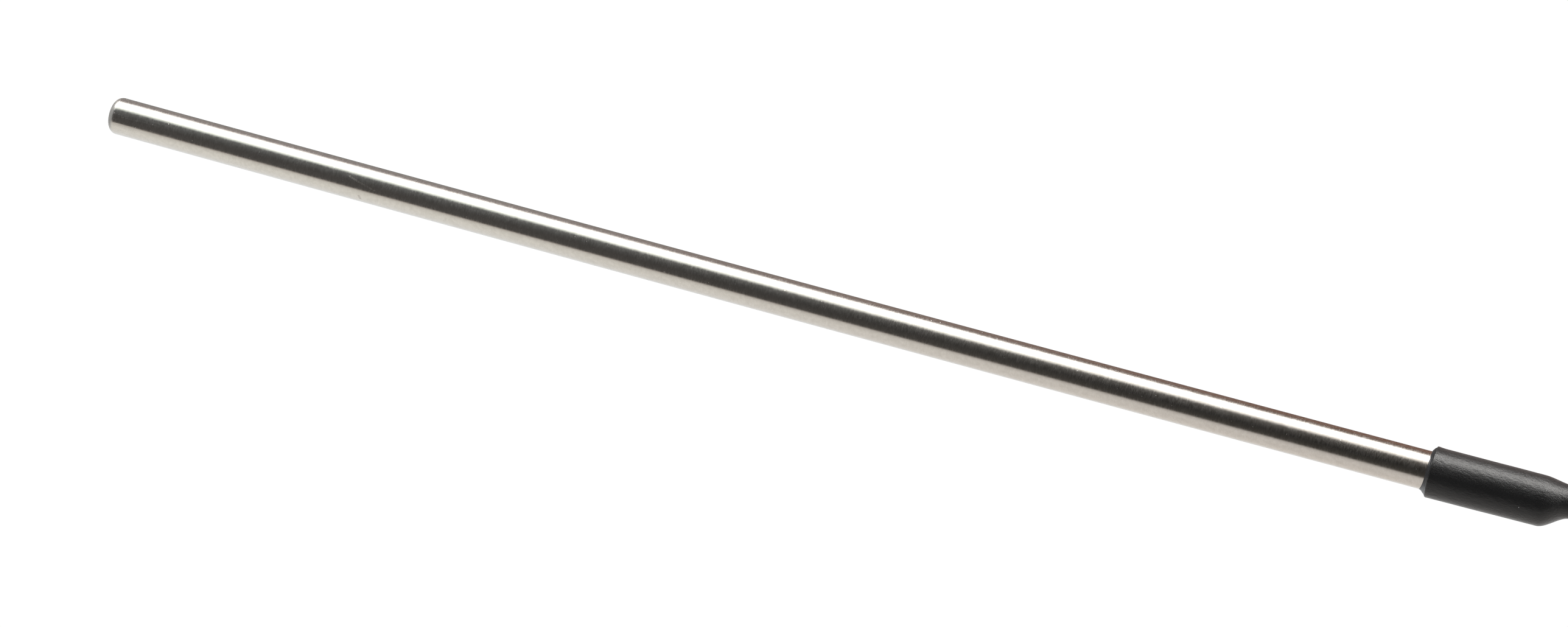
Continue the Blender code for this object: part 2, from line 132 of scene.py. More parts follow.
def turned(outline, sides, at=(0.0, 0.0, 0.0)):
    """A bmesh from a closed outline of (x, radius), spun round an axis along X."""
    bm = bmesh.new()
    points = [bm.verts.new((x, 0.0, radius)) for x, radius in outline]
    edges = [bm.edges.new(pair) for pair in zip(points, points[1:] + points[:1])]
    bmesh.ops.spin(
        bm, geom=points + edges, cent=(0, 0, 0), axis=(1, 0, 0),
        angle=math.tau, steps=sides, use_merge=True,
    )
    bmesh.ops.remove_doubles(bm, verts=bm.verts, dist=1e-7)
    bmesh.ops.dissolve_degenerate(bm, edges=bm.edges, dist=1e-7)
    bmesh.ops.translate(bm, vec=at, verts=bm.verts)
    return bm


def drawn(rings, closed):
    """A bmesh through rings of points; closed joins the last ring to the first."""
    bm = bmesh.new()
    loops = [[bm.verts.new(p) for p in ring] for ring in rings]
    following = loops[1:] + loops[:1] if closed else loops[1:]
    for here, there in zip(loops, following):
        for i, corner in enumerate(here):
            bm.faces.new((here[i - 1], corner, there[i], there[i - 1]))
    if not closed:
        bm.faces.new(loops[0])
        bm.faces.new(loops[-1])
    return bm


def rod(path, radius, sides):
    """A bmesh of a round rod along a path, whose rings turn no more than the path does."""
    ways = [(b - a).normalized() for a, b in zip(path, path[1:])]
    ways.append(ways[-1])
    across = ways[0].orthogonal().normalized()
    rings = []
    before = ways[0]
    for spot, way in zip(path, ways):
        middle_way = (before + way).normalized()
        across.rotate(before.rotation_difference(middle_way))
        beside = middle_way.cross(across)
        turns = [math.tau * i / sides for i in range(sides)]
        rings.append([spot + (across * math.cos(t) + beside * math.sin(t)) * radius for t in turns])
        across.rotate(middle_way.rotation_difference(way))
        before = way
    return drawn(rings, False)


def arc(centre, radius, start, end, steps):
    """Points of an outline on an arc, with its angles in degrees from +X."""
    angles = [math.radians(start + (end - start) * i / steps) for i in range(steps + 1)]
    return [(centre[0] + radius * math.cos(a), centre[1] + radius * math.sin(a)) for a in angles]


def evenly(start, end, count):
    """Both ends and the places that cut the stretch between them into count equal steps."""
    return [start + (end - start) * i / count for i in range(count + 1)]


# %% [markdown]
# ## The lead's path
#
# The lead is 3 mm thick and 1.5 m long. It leaves the sleeve, drops to the table and is folded
# into a hank. A hank is easiest to describe as straight runs and half-round folds. Sixteen runs
# lie in four layers, two columns on each side, and a tie draws the middle together. Each run
# follows a cosine, so that it narrows and widens without a kink.

# %% Free part of the lead
LEAD_RADIUS = 1.5 * MM
LEAD_TO_HANK = [
    (251.72, 2.46, -0.03),
    (256.0, 3.15, -0.40),
    (260.0, 4.05, -0.95),
    (264.0, 5.30, -1.55),
    (268.0, 7.00, -2.10),
    (271.0, 8.45, -2.40),
    (274.5, 9.95, -2.43),
    (278.0, 11.20, -2.43),
    (282.0, 11.98, -2.43),
    (286.0, 12.20, -2.43),
]


def smooth_through(points, spacing):
    """Points along a Catmull-Rom curve through points given in millimetres."""
    knots = [Vector(p) * MM for p in points]
    knots = [2 * knots[0] - knots[1], *knots, 2 * knots[-1] - knots[-2]]
    path = []
    for a, b, c, d in zip(knots, knots[1:], knots[2:], knots[3:]):
        steps = max(1, round((c - b).length / spacing))
        for i in range(steps):
            t = i / steps
            path.append(
                0.5 * (2 * b + (c - a) * t + (2 * a - 5 * b + 4 * c - d) * t**2
                       + (3 * b - a - 3 * c + d) * t**3)
            )
    return [*path, knots[-2]]


# %% Hank
FOLD_START = 286.0 * MM
HANK_RUN = 57.0 * MM
FOLD_RADII = (9.0 * MM, 12.2 * MM)
WAIST = (1.6 * MM, 4.8 * MM)
LAYERS = 4
LAYER_PITCH = 3.05 * MM
WAIST_LIFT = 1.05 * MM
RUN_STEPS = 20
FOLD_STEPS = 24
TAIL_END = 270.0 * MM


def layer_height(layer):
    """The height of the lead's middle in a layer, counted from 0 on the table."""
    return FLOOR + LEAD_RADIUS + layer * LAYER_PITCH


def run_points(side, column, layer, outward):
    """One pass along the hank: column 0 is the inner one, and outward runs away from the probe."""
    points = []
    for i in range(RUN_STEPS):
        t = i / RUN_STEPS if outward else 1 - i / RUN_STEPS
        pinched = (1 - math.cos(math.tau * t)) / 2
        width = FOLD_RADII[column] + (WAIST[column] - FOLD_RADII[column]) * pinched
        height = layer_height(layer) + WAIST_LIFT * pinched
        points.append(Vector((FOLD_START + HANK_RUN * t, side * width, height)))
    return points


def fold_points(end, side, leaves, arrives):
    """A half-round fold; leaves and arrives are (column, layer)."""
    centre = FOLD_START + (HANK_RUN if end > 0 else 0.0)
    points = []
    for i in range(FOLD_STEPS):
        t = i / FOLD_STEPS
        eased = (1 - math.cos(math.pi * t)) / 2
        radius = FOLD_RADII[leaves[0]] * (1 - eased) + FOLD_RADII[arrives[0]] * eased
        height = layer_height(leaves[1]) * (1 - eased) + layer_height(arrives[1]) * eased
        turn = math.pi * t
        x = centre + end * radius * math.sin(turn)
        points.append(Vector((x, side * radius * math.cos(turn), height)))
    return points


def hank_points():
    """In along the outer side, up through the inner column, and down the outer one."""
    inner, outer, top = 0, 1, LAYERS - 1
    points = run_points(1, outer, 0, True) + fold_points(1, 1, (outer, 0), (inner, 0))
    for layer in range(LAYERS):
        points += run_points(-1, inner, layer, False)
        points += fold_points(-1, -1, (inner, layer), (inner, layer))
        points += run_points(1, inner, layer, True)
        following = (outer, top) if layer == top else (inner, layer + 1)
        points += fold_points(1, 1, (inner, layer), following)
    for layer in range(top, 0, -1):
        points += run_points(-1, outer, layer, False)
        points += fold_points(-1, -1, (outer, layer), (outer, layer))
        points += run_points(1, outer, layer, True)
        points += fold_points(1, 1, (outer, layer), (outer, layer - 1))
    return points + run_points(-1, outer, 0, False)


lead_path = smooth_through(LEAD_TO_HANK, 1.5 * MM)[:-1] + hank_points()
tail_height = layer_height(0)
for x in (FOLD_START, FOLD_START - 5 * MM, FOLD_START - 10 * MM, TAIL_END):
    lead_path.append(Vector((x, -FOLD_RADII[1], tail_height)))
measured = sum((b - a).length for a, b in zip(lead_path, lead_path[1:]))
print(f"lead path: {len(lead_path)} points, {measured:.3f} m")


# %% Lead
LEAD_SIDES = 20
LEAD_SOLIDS = ("lead_run", "lead_hank", "lead_tail")

lead = piece_from("lead", rod(lead_path, LEAD_RADIUS, LEAD_SIDES), LEAD_SOLIDS)

# %% [markdown]
# ## Shader maths
#
# Every finish here is worked out from the place of a point on the piece. Written out node by
# node, such maths is hard to read. So one small class wraps a socket: adding, subtracting,
# multiplying or dividing it adds the Math node for that. A second class holds a material's node
# tree and has the one method that adds any other node.

# %% A socket with Python's operators
class Signal:
    """A socket of a finish, on which Python's operators add Math nodes."""

    def __init__(self, finish, socket):
        self.finish = finish
        self.socket = socket

    def maths(self, operation, a, b=0.0, c=0.0):
        """Adds one Math node."""
        return self.finish.node("Math", {"operation": operation}, {0: a, 1: b, 2: c})

    def __add__(self, other):
        return self.maths("ADD", self, other)

    def __radd__(self, other):
        return self.maths("ADD", other, self)

    def __sub__(self, other):
        return self.maths("SUBTRACT", self, other)

    def __rsub__(self, other):
        return self.maths("SUBTRACT", other, self)

    def __mul__(self, other):
        return self.maths("MULTIPLY", self, other)

    def __rmul__(self, other):
        return self.maths("MULTIPLY", other, self)

    def __truediv__(self, other):
        return self.maths("DIVIDE", self, other)

    def __rtruediv__(self, other):
        return self.maths("DIVIDE", other, self)

    def __abs__(self):
        return self.maths("ABSOLUTE", self)


# %% A material's node tree
class Finish:
    """A material and its nodes. Its shader's constants are given by their socket names."""

    def __init__(self, name, **constants):
        self.material = bpy.data.materials.new(name)
        self.material.use_nodes = True
        self.tree = self.material.node_tree
        self.shader = self.tree.nodes["Principled BSDF"]
        for socket, value in constants.items():
            self.put(self.socket_of(socket), value)

    def socket_of(self, name):
        """The shader's socket for a name such as base_color."""
        wanted = name.replace("_", " ")
        return next(s for s in self.shader.inputs if s.name.lower() == wanted)

    def put(self, socket, value):
        """Links a signal to a socket, or sets the socket to a plain value."""
        if isinstance(value, Signal):
            self.tree.links.new(value.socket, socket)
        else:
            socket.default_value = value

    def node(self, kind, settings=None, sockets=None, output=0):
        """Adds a node: first its settings, then its sockets' values or links."""
        made = self.tree.nodes.new("ShaderNode" + kind)
        for name, value in (settings or {}).items():
            if name == "stops":
                self.set_stops(made.color_ramp.elements, value)
            else:
                setattr(made, name, value)
        for name, value in (sockets or {}).items():
            self.put(made.inputs[name], value)
        return Signal(self, made.outputs[output])

    def set_stops(self, elements, stops):
        """A ramp starts with two stops, so the others are added."""
        while len(elements) < len(stops):
            elements.new(1.0)
        for element, (position, colour) in zip(elements, stops):
            element.position = position
            element.color = colour

    def place(self):
        """Where a point lies in the object's own metres."""
        return self.node("TexCoord", output="Object")

    def axes(self, vector):
        """A vector's three numbers."""
        split = self.node("SeparateXYZ", sockets={0: vector})
        return [Signal(self, socket) for socket in split.socket.node.outputs]

    def specks(self, vector, cells, size, share):
        """1 on small round specks: in a share of the cells of a pattern, 0 everywhere else."""
        sockets = {"Vector": vector, "Scale": cells}
        spots = self.node("TexVoronoi", sockets=sockets)
        chance = self.axes(Signal(self, spots.socket.node.outputs["Color"]))[0]
        return (1 - self.between(spots, 0.5 * size, size)) * self.between(chance, share, share + 0.02)

    def stretched(self, vector, scale):
        """A place scaled by axis; a small scale draws a pattern out along that axis."""
        return self.node("VectorMath", {"operation": "MULTIPLY"}, {0: vector, 1: scale})

    def noise(self, vector, scale, detail=3.0, roughness=0.55):
        """A cloudy pattern from 0 to 1; scale is about its number of patches to a metre."""
        sockets = {"Vector": vector, "Scale": scale, "Detail": detail, "Roughness": roughness}
        return self.node("TexNoise", sockets=sockets)

    def between(self, value, low, high):
        """0 below low, 1 above high, and a smooth step between."""
        settings = {"interpolation_type": "SMOOTHSTEP"}
        return self.node("MapRange", settings, {"Value": value, "From Min": low, "From Max": high})

    def blend(self, factor, a, b):
        """Colour a where the factor is 0 and colour b where it is 1."""
        return self.node("Mix", {"data_type": "RGBA"}, {0: factor, 6: a, 7: b}, output=2)

    def bump(self, height, distance):
        """A normal that shades the surface as if it rose by distance where height is 1."""
        return self.node("Bump", sockets={"Height": height, "Distance": distance})

    def surface(self, **varying):
        """Links what changes over the surface, and gives the finished material."""
        for socket, value in varying.items():
            self.put(self.socket_of(socket), value)
        return self.material


def rgb(red, green, blue):
    """An opaque colour in linear light."""
    return (red, green, blue, 1.0)


def coat(piece, material):
    """The piece's one material."""
    piece.data.materials.clear()
    piece.data.materials.append(material)


# %% [markdown]
# ## The sheath
#
# The sheath is a drawn stainless tube, 6 mm across, with its tip closed to a flat face and a
# rounded corner. A coarse tube shows facets along its bright edges, because polished metal shows
# every change of angle. So it gets many sides, and its corner many steps. The bore is real too.

# %% Sheath
SHEATH_SIDES = 160
TIP_CORNER = 1.3 * MM
TIP_WALL = 1.1 * MM
BORE = 2.5 * MM
BORE_CORNER = 0.8 * MM
END_ROUND = 0.15 * MM
BOW = 0.20 * MM
BOW_WAY = Vector((0.0, 0.72, 0.69))
BOW_MIDDLE = 106.0 * MM
BOW_REACH = 108.0 * MM

outside = [(0.0, 0.0)]
outside += arc((TIP_CORNER, SHEATH_RADIUS - TIP_CORNER), TIP_CORNER, 180, 90, 18)
outside += [(x, SHEATH_RADIUS) for x in evenly(TIP_CORNER, SHEATH_END - END_ROUND, 48)[1:-1]]
outside += arc((SHEATH_END - END_ROUND, SHEATH_RADIUS - END_ROUND), END_ROUND, 90, 0, 4)
inside = [(SHEATH_END, BORE)]
inside += arc((TIP_WALL + BORE_CORNER, BORE - BORE_CORNER), BORE_CORNER, 90, 180, 8)
inside += [(TIP_WALL, 0.0)]


def bow(x):
    """How far the drawn tube bends away from a straight line, as every long tube does."""
    return BOW_WAY * BOW * ((x - BOW_MIDDLE) / BOW_REACH) ** 2


bm = turned(outside + inside, SHEATH_SIDES)
for corner in bm.verts:
    corner.co += bow(corner.co.x)
sheath = piece_from("sheath", bm, ["sheath_tube"], 50)

# %% [markdown]
# The steel was polished on a belt while it turned, which leaves very fine marks round it. Seen
# closely, they are short streaks across the probe that are a little rougher than their
# neighbours. A noise that is longer round the probe than along it draws them. The rougher ones
# also get the shader's coat, whose own roughness lays a faint haze over a sharp reflection. Small
# specks, one thin scratch and one dull spot break them up, as do marks near the tip from handling.

# %% Brushed stainless
HAIRLINE = ((41.8 * MM, 2.7 * MM), (47.2 * MM, 1.8 * MM))
HAIRLINE_WIDTH = 0.13 * MM
DULL_SPOT = ((44.2 * MM, 0.5 * MM), (44.5 * MM, -0.5 * MM))
DULL_SPOT_WIDTH = 0.30 * MM


def scratch(steel, along, height, start, end, width):
    """1 on a thin straight scratch between two places (x, z), seen along the Y axis."""
    run = math.dist(start, end)
    slope = ((end[0] - start[0]) / run, (end[1] - start[1]) / run)
    from_x = along - start[0]
    from_z = height - start[1]
    progress = (from_x * slope[0] + from_z * slope[1]) / run
    beside = abs(from_x * slope[1] - from_z * slope[0])
    inside_ends = 1 - steel.between(abs(progress - 0.5), 0.42, 0.5)
    return inside_ends * (1 - steel.between(beside, 0.3 * width, width))


def brushed_stainless():
    """Polished steel with short streaks round it, a worn tip and a few marks."""
    steel = Finish("brushed_stainless", metallic=1.0, coat_roughness=0.5)
    place = steel.place()
    along, _, height = steel.axes(place)
    fine = steel.noise(steel.stretched(place, (1.0, 0.18, 0.18)), 8000.0, 2.0, 0.6)
    broad = steel.noise(steel.stretched(place, (1.0, 0.15, 0.15)), 1100.0, 2.0, 0.5)
    streaks = steel.between(0.85 * fine + 0.15 * broad, 0.36, 0.64)
    mottle = steel.between(steel.noise(place, 1500.0, 3.0, 0.55), 0.35, 0.65)
    grain = steel.noise(place, 5600.0, 2.0, 0.6)
    specks = steel.specks(place, 1500.0, 0.16, 0.80)
    tip_wear = 1 - steel.between(along, 4 * MM, 16 * MM)
    lengthwise = steel.noise(steel.stretched(place, (0.03, 1.0, 1.0)), 4200.0, 1.0, 0.5)
    marks = tip_wear * steel.between(lengthwise, 0.56, 0.66)
    corner = 1 - steel.between(along, 0.2 * TIP_CORNER, 1.3 * TIP_CORNER)
    hairline = scratch(steel, along, height, *HAIRLINE, HAIRLINE_WIDTH)
    dull_spot = scratch(steel, along, height, *DULL_SPOT, DULL_SPOT_WIDTH)
    roughness = 0.085 + 0.11 * streaks + 0.30 * corner + 0.10 * marks + 0.16 * hairline
    relief = 0.5 * streaks + 0.25 * grain + 2.0 * specks + 0.9 * marks + 2.5 * hairline
    relief = relief * (1 - 0.8 * corner)
    colour = steel.blend(0.5 * mottle + 0.5 * streaks, rgb(0.62, 0.605, 0.58), rgb(0.70, 0.685, 0.66))
    colour = steel.blend(0.5 * dull_spot, colour, rgb(0.38, 0.36, 0.34))
    colour = steel.blend(0.6 * specks, colour, rgb(0.80, 0.79, 0.77))
    return steel.surface(
        base_color=colour,
        roughness=roughness + 0.2 * specks,
        coat_weight=streaks,
        normal=steel.bump(relief, 0.0018 * MM),
    )


stainless = brushed_stainless()
coat(sheath, stainless)

# %% [markdown]
# ## The heat-shrink sleeve
#
# The sleeve is a length of thin-walled tubing, shrunk by hot air over the sheath's end and the
# lead. It keeps close to what is under it: it stays round over the sheath, steps down over the
# sheath's end, and becomes a neck round the lead, which sits to one side. Shrinking leaves it
# faintly uneven. So each ring gets its own centre and radius, and a soft noise moves its points.

# %% Sleeve path and size
SHOULDER_START = 234.57 * MM
SHOULDER_LENGTH = 5.4 * MM
SHOULDER_LATE = 0.35 * MM
SHOULDER_SHORTER = 0.9 * MM
LOW_SIDE = math.radians(-129)
SLEEVE_WALL = 0.30 * MM
SLEEVE_RADII = (3.93 * MM, 3.87 * MM)
NECK_RADII = (2.47 * MM, 2.37 * MM)
NECK_SETTLES = 5.0 * MM
SLEEVE_LEAN = (0.16 * MM, 0.39 * MM)
SLEEVE_LIFT = (0.06 * MM, 0.14 * MM)
SLEEVE_SIDES = 120
LEAD_IN_SLEEVE = [
    (226.0, 0.78, 0.18),
    (230.0, 0.78, 0.18),
    (234.0, 0.80, 0.20),
    (237.0, 1.02, 0.24),
    (240.0, 1.30, 0.26),
    (244.0, 1.62, 0.24),
    (248.0, 2.00, 0.14),
    (252.0, 2.50, -0.05),
]
lead_inside = smooth_through(LEAD_IN_SLEEVE, 0.5 * MM)


def lead_at(x):
    """The middle of the lead inside the sleeve."""
    for a, b in zip(lead_inside, lead_inside[1:]):
        if a.x <= x <= b.x:
            return a.lerp(b, (x - a.x) / (b.x - a.x))
    return lead_inside[0] if x < lead_inside[0].x else lead_inside[-1]


def shoulder(x, late=0.0):
    """0 on the sheath, 1 on the neck, and a smooth step between, which may come late."""
    start = SHOULDER_START + late * SHOULDER_LATE
    length = SHOULDER_LENGTH - late * SHOULDER_SHORTER
    t = min(1.0, max(0.0, (x - start) / length))
    return t * t * (3 - 2 * t)


def over_sheath(x):
    """0 at the sleeve's mouth and 1 where its shoulder starts."""
    return min(1.0, max(0.0, (x - SLEEVE_START) / (SHOULDER_START - SLEEVE_START)))


def sleeve_middle(x, late=0.0):
    """The middle of the sleeve, which leans off the sheath's axis and then follows the lead."""
    lean = SLEEVE_LEAN[0] + (SLEEVE_LEAN[1] - SLEEVE_LEAN[0]) * over_sheath(x)
    step = shoulder(x, late)
    lead_middle = lead_at(x)
    lift = SLEEVE_LIFT[0] * (1 - step) + SLEEVE_LIFT[1] * step
    return Vector((x, lean * (1 - step) + lead_middle.y * step, lead_middle.z * step + lift))


def sleeve_radius(x, late=0.0):
    """The sleeve's outer radius, from its mouth over the shoulder to the neck."""
    body = SLEEVE_RADII[0] + (SLEEVE_RADII[1] - SLEEVE_RADII[0]) * over_sheath(x)
    past = max(0.0, x - SHOULDER_START - SHOULDER_LENGTH)
    neck = NECK_RADII[1] + (NECK_RADII[0] - NECK_RADII[1]) * math.exp(-past / NECK_SETTLES)
    step = shoulder(x, late)
    return body * (1 - step) + neck * step


# %% Sleeve
RIM_ROUND = 0.12 * MM
RIM_BULGE = 0.09 * MM
RIM_BULGE_REACH = 0.7 * MM
WAVE = 0.022 * MM
WAVE_LENGTH = 3.2 * MM
RIPPLE = 0.006 * MM
RIPPLE_LENGTH = 0.9 * MM


def unevenness(x, turn):
    """How far shrinking left a point of the sleeve proud of a true circle."""
    around = Vector((0.0, math.cos(turn), math.sin(turn))) * sleeve_radius(x)
    along = Vector((x * 0.55, 0.0, 0.0))
    wave = noise.noise((along + around) / WAVE_LENGTH)
    ripple = noise.noise((along + around) / RIPPLE_LENGTH)
    return WAVE * wave + RIPPLE * ripple


def sleeve_ring(x, inset, uneven):
    """One ring of the sleeve, drawn in by inset, with a share of its unevenness."""
    points = []
    rim = RIM_BULGE * math.exp(-(((x - SLEEVE_START) / RIM_BULGE_REACH) ** 2))
    for i in range(SLEEVE_SIDES):
        turn = math.tau * i / SLEEVE_SIDES
        low = (1 + math.cos(turn - LOW_SIDE)) / 2
        radius = sleeve_radius(x, low) - inset + uneven * (unevenness(x, turn) + rim * (1 - low))
        offset = Vector((0.0, math.cos(turn), math.sin(turn))) * radius
        points.append(sleeve_middle(x, low) + offset)
    return points


rings = []
for angle in evenly(180, 90, 5):
    lift = RIM_ROUND * (1 - math.sin(math.radians(angle)))
    back = RIM_ROUND * (1 + math.cos(math.radians(angle)))
    rings.append(sleeve_ring(SLEEVE_START + back, lift, 1.0))
for x in evenly(SLEEVE_START + RIM_ROUND, SLEEVE_END, 130)[1:]:
    rings.append(sleeve_ring(x, 0.0, 1.0))
for x in evenly(SLEEVE_END, SLEEVE_START, 60):
    rings.append(sleeve_ring(x, SLEEVE_WALL, 0.0))
sleeve = piece_from("sleeve", drawn(rings, True), ["heat_shrink_sleeve"], 50)

# %% [markdown]
# Shrunk tubing has a satin skin with a fine grain of short ridges that run roughly along it. Its
# black is slightly uneven. Ridges come from a noise that is stretched along the sleeve and
# slanted a little, and a second, finer one breaks them up. Dust leaves a few pale specks, and a
# little sheen lifts the black towards the edges, where the grain is seen at a slant.

# %% Shrunk sleeve finish
def shrunk_skin():
    """Satin black tubing with ridges along it and a little dust."""
    tint = rgb(0.97, 0.985, 1.0)
    skin = Finish("shrunk_skin", ior=1.46, specular_tint=tint, sheen_weight=0.22, sheen_roughness=0.4)
    place = skin.place()
    slanted = skin.node("Mapping", sockets={"Vector": place, "Rotation": (0.0, 0.0, 0.10)})
    ridges = skin.noise(skin.stretched(slanted, (0.55, 1.0, 1.0)), 2000.0, 4.0, 0.7)
    grain = skin.noise(place, 7000.0, 1.0, 0.5)
    cloud = skin.noise(place, 240.0, 2.0, 0.5)
    dust = skin.specks(place, 900.0, 0.07, 0.75)
    black = skin.blend(cloud, rgb(0.0044, 0.0046, 0.0052), rgb(0.0070, 0.0072, 0.0078))
    colour = skin.blend(0.6 * dust, black, rgb(0.45, 0.45, 0.45))
    roughness = 0.27 + 0.12 * grain + 0.06 * cloud
    normal = skin.bump(ridges + 0.2 * grain, 0.075 * MM)
    return skin.surface(base_color=colour, roughness=roughness, normal=normal)


shrink_skin = shrunk_skin()
coat(sleeve, shrink_skin)

# %% [markdown]
# ## The liner and its collar
#
# The tubing is lined with hot-melt adhesive. Heat squeezes some of it out at the mouth, where it
# sets in a sloping collar between the sheath and the sleeve's cut edge. It is short and steep on
# one side and drawn out into a hollow fillet on the other, so its rings change with the angle.
# Low down its colour is painted greyer, as a painted reflection of the bright table below it.

# %% Liner
COLLAR_REACH = (0.54 * MM, 1.15 * MM)
COLLAR_CURVE = (0.62, 1.75)
COLLAR_UNEVEN = 0.05 * MM
COLLAR_RIDGE = 0.035 * MM
COLLAR_GROOVE = 0.040 * MM
COLLAR_FOOT = 0.01 * MM
COLLAR_TOP = 0.07 * MM
COLLAR_GAP = 0.03 * MM
FIT_GAP = 0.05 * MM


def collar_ring(s):
    """One ring of the collar: s is 0 on the sheath and 1 at the sleeve's edge."""
    points = []
    rim = SLEEVE_START - COLLAR_GAP
    edge = sleeve_radius(SLEEVE_START) - COLLAR_TOP
    for i in range(SLEEVE_SIDES):
        turn = math.tau * i / SLEEVE_SIDES
        drawn_out = (1 + math.cos(turn - LOW_SIDE)) / 2
        uneven = noise.noise(Vector((3.1 * math.cos(turn), 3.1 * math.sin(turn), 2.0 * s)))
        reach = COLLAR_REACH[0] + (COLLAR_REACH[1] - COLLAR_REACH[0]) * drawn_out**6
        reach += COLLAR_UNEVEN * uneven
        curve = COLLAR_CURVE[0] + (COLLAR_CURVE[1] - COLLAR_CURVE[0]) * drawn_out
        ridge = COLLAR_RIDGE * math.exp(-((s - 0.55) / 0.10) ** 2)
        groove = COLLAR_GROOVE * math.exp(-((s - 0.86) / 0.06) ** 2)
        start = SHEATH_RADIUS + COLLAR_FOOT
        radius = start + (edge - start) * s**curve + (ridge - groove) * (1 + uneven)
        x = rim - reach * (1 - s)
        middle = bow(x).lerp(Vector((0.0, SLEEVE_LEAN[0], SLEEVE_LIFT[0])), s)
        out = Vector((0.0, math.cos(turn), math.sin(turn)))
        points.append(middle + Vector((x, 0.0, 0.0)) + out * radius)
    return points


def liner_ring(x, radius, middle=None):
    """A round ring of the liner, in the middle of the sleeve unless it is given another."""
    centre = sleeve_middle(x) if middle is None else middle
    turns = [math.tau * i / SLEEVE_SIDES for i in range(SLEEVE_SIDES)]
    return [centre + Vector((0.0, math.cos(t), math.sin(t))) * radius for t in turns]


LINER_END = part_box("adhesive_liner")[1][0]
SHEATH_FIT = SHEATH_RADIUS + FIT_GAP
rings = [collar_ring(s) for s in evenly(0.0, 1.0, 22)]
for x in evenly(SLEEVE_START - COLLAR_GAP, LINER_END, 50):
    rings.append(liner_ring(x, sleeve_radius(x) - SLEEVE_WALL - FIT_GAP))
for x in evenly(LINER_END, SHEATH_END + 1.4 * MM, 20):
    rings.append(liner_ring(x, LEAD_RADIUS + FIT_GAP, lead_at(x)))
for x in (SHEATH_END + 0.1 * MM, SLEEVE_START):
    rings.append(liner_ring(x, SHEATH_FIT, Vector((x, 0.0, 0.0)) + bow(x)))
liner = piece_from("liner", drawn(rings, True), ["adhesive_liner"], 60)


# %% Hot-melt finish
def hot_melt():
    """Set adhesive: nearly black, with a painted reflection that turns it greyer low down."""
    melt = Finish("hot_melt")
    place = melt.place()
    flow = melt.noise(place, 1500.0, 3.0, 0.5)
    grain = melt.noise(place, 6000.0, 2.0, 0.5)
    _, _, height = melt.axes(place)
    # Greyer low down is painted light: a painted reflection of the bright table below it.
    painted_reflection_below = 1 - melt.between(height, -2.2 * MM, 1.2 * MM)
    colour = melt.blend(flow, rgb(0.005, 0.005, 0.006), rgb(0.026, 0.027, 0.033))
    colour = melt.blend(0.8 * painted_reflection_below, colour, rgb(0.15, 0.155, 0.165))
    roughness = 0.28 + 0.18 * grain
    return melt.surface(
        base_color=colour, roughness=roughness, normal=melt.bump(flow + 0.3 * grain, 0.03 * MM)
    )


adhesive = hot_melt()
coat(liner, adhesive)

# %% [markdown]
# ## The lead's jacket
#
# The jacket is extruded plastic with a fine matt grain. Where it has been handled and folded it
# is slightly polished, which a broad noise in its roughness shows.

# %% Extruded plastics
def extruded(name, dark, light, roughness):
    """An extruded plastic: fine grain, faint lines, and a colour that drifts a little."""
    plastic = Finish(name)
    place = plastic.place()
    drift = plastic.noise(place, 90.0, 2.0, 0.5)
    grain = plastic.noise(place, 5200.0, 2.0, 0.6)
    handled = plastic.noise(place, 240.0, 2.0, 0.5)
    return plastic.surface(
        base_color=plastic.blend(drift, dark, light),
        roughness=roughness - 0.08 + 0.10 * grain + 0.10 * handled,
        normal=plastic.bump(grain, 0.02 * MM),
    )


jacket = extruded("lead_jacket", rgb(0.012, 0.012, 0.012), rgb(0.020, 0.020, 0.020), 0.46)
coat(lead, jacket)
coat(nodes["lead_entry"], jacket)
cores = {
    "positive": extruded("black_core", rgb(0.015, 0.015, 0.015), rgb(0.024, 0.024, 0.024), 0.42),
    "negative": extruded("white_core", rgb(0.74, 0.73, 0.70), rgb(0.82, 0.81, 0.78), 0.42),
}

# %% [markdown]
# ## The cable tie
#
# A nylon tie holds the hank at its waist. Its strap is a thin band with rounded edges and a
# ladder of teeth, threaded through a small head. The strap is drawn through rings like the
# sleeve, but round a rounded rectangle. The head is a block that is rounded and has a window.

# %% Cable tie
tie_low, tie_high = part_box("hank_tie")
TIE_MIDDLE = (tie_low[0] + tie_high[0]) / 2
STRAP_WIDTH = 2.6 * MM
STRAP_THICKNESS = 0.9 * MM
STRAP_EDGE = 0.25 * MM
STRAP_CORNER = 0.75 * MM
TOOTH_PITCH = 0.7 * MM
TOOTH_DEPTH = 0.18 * MM
HEAD_SIZE = Vector((4.4, 5.0, 3.2)) * MM
HEAD_SUNK = 0.3 * MM
STUB_LENGTH = 5.0 * MM
strap_top = tie_high[2] - HEAD_SIZE[2] + HEAD_SUNK


def strap_section(at, outward, tooth):
    """A cross-section of the strap, with its toothed channel on the outer side."""
    half = STRAP_WIDTH / 2
    edge = STRAP_EDGE
    channel = half * 0.6
    depth = TOOTH_DEPTH * tooth
    thick = STRAP_THICKNESS
    section = [
        (-half, edge), (-half + edge, 0.0), (half - edge, 0.0), (half, edge),
        (half, thick - edge), (half - edge, thick), (channel, thick), (channel * 0.9, thick - depth),
        (-channel * 0.9, thick - depth), (-channel, thick), (-half + edge, thick), (-half, thick - edge),
    ]
    return [at + Vector((x, 0.0, 0.0)) + outward * rise for x, rise in section]


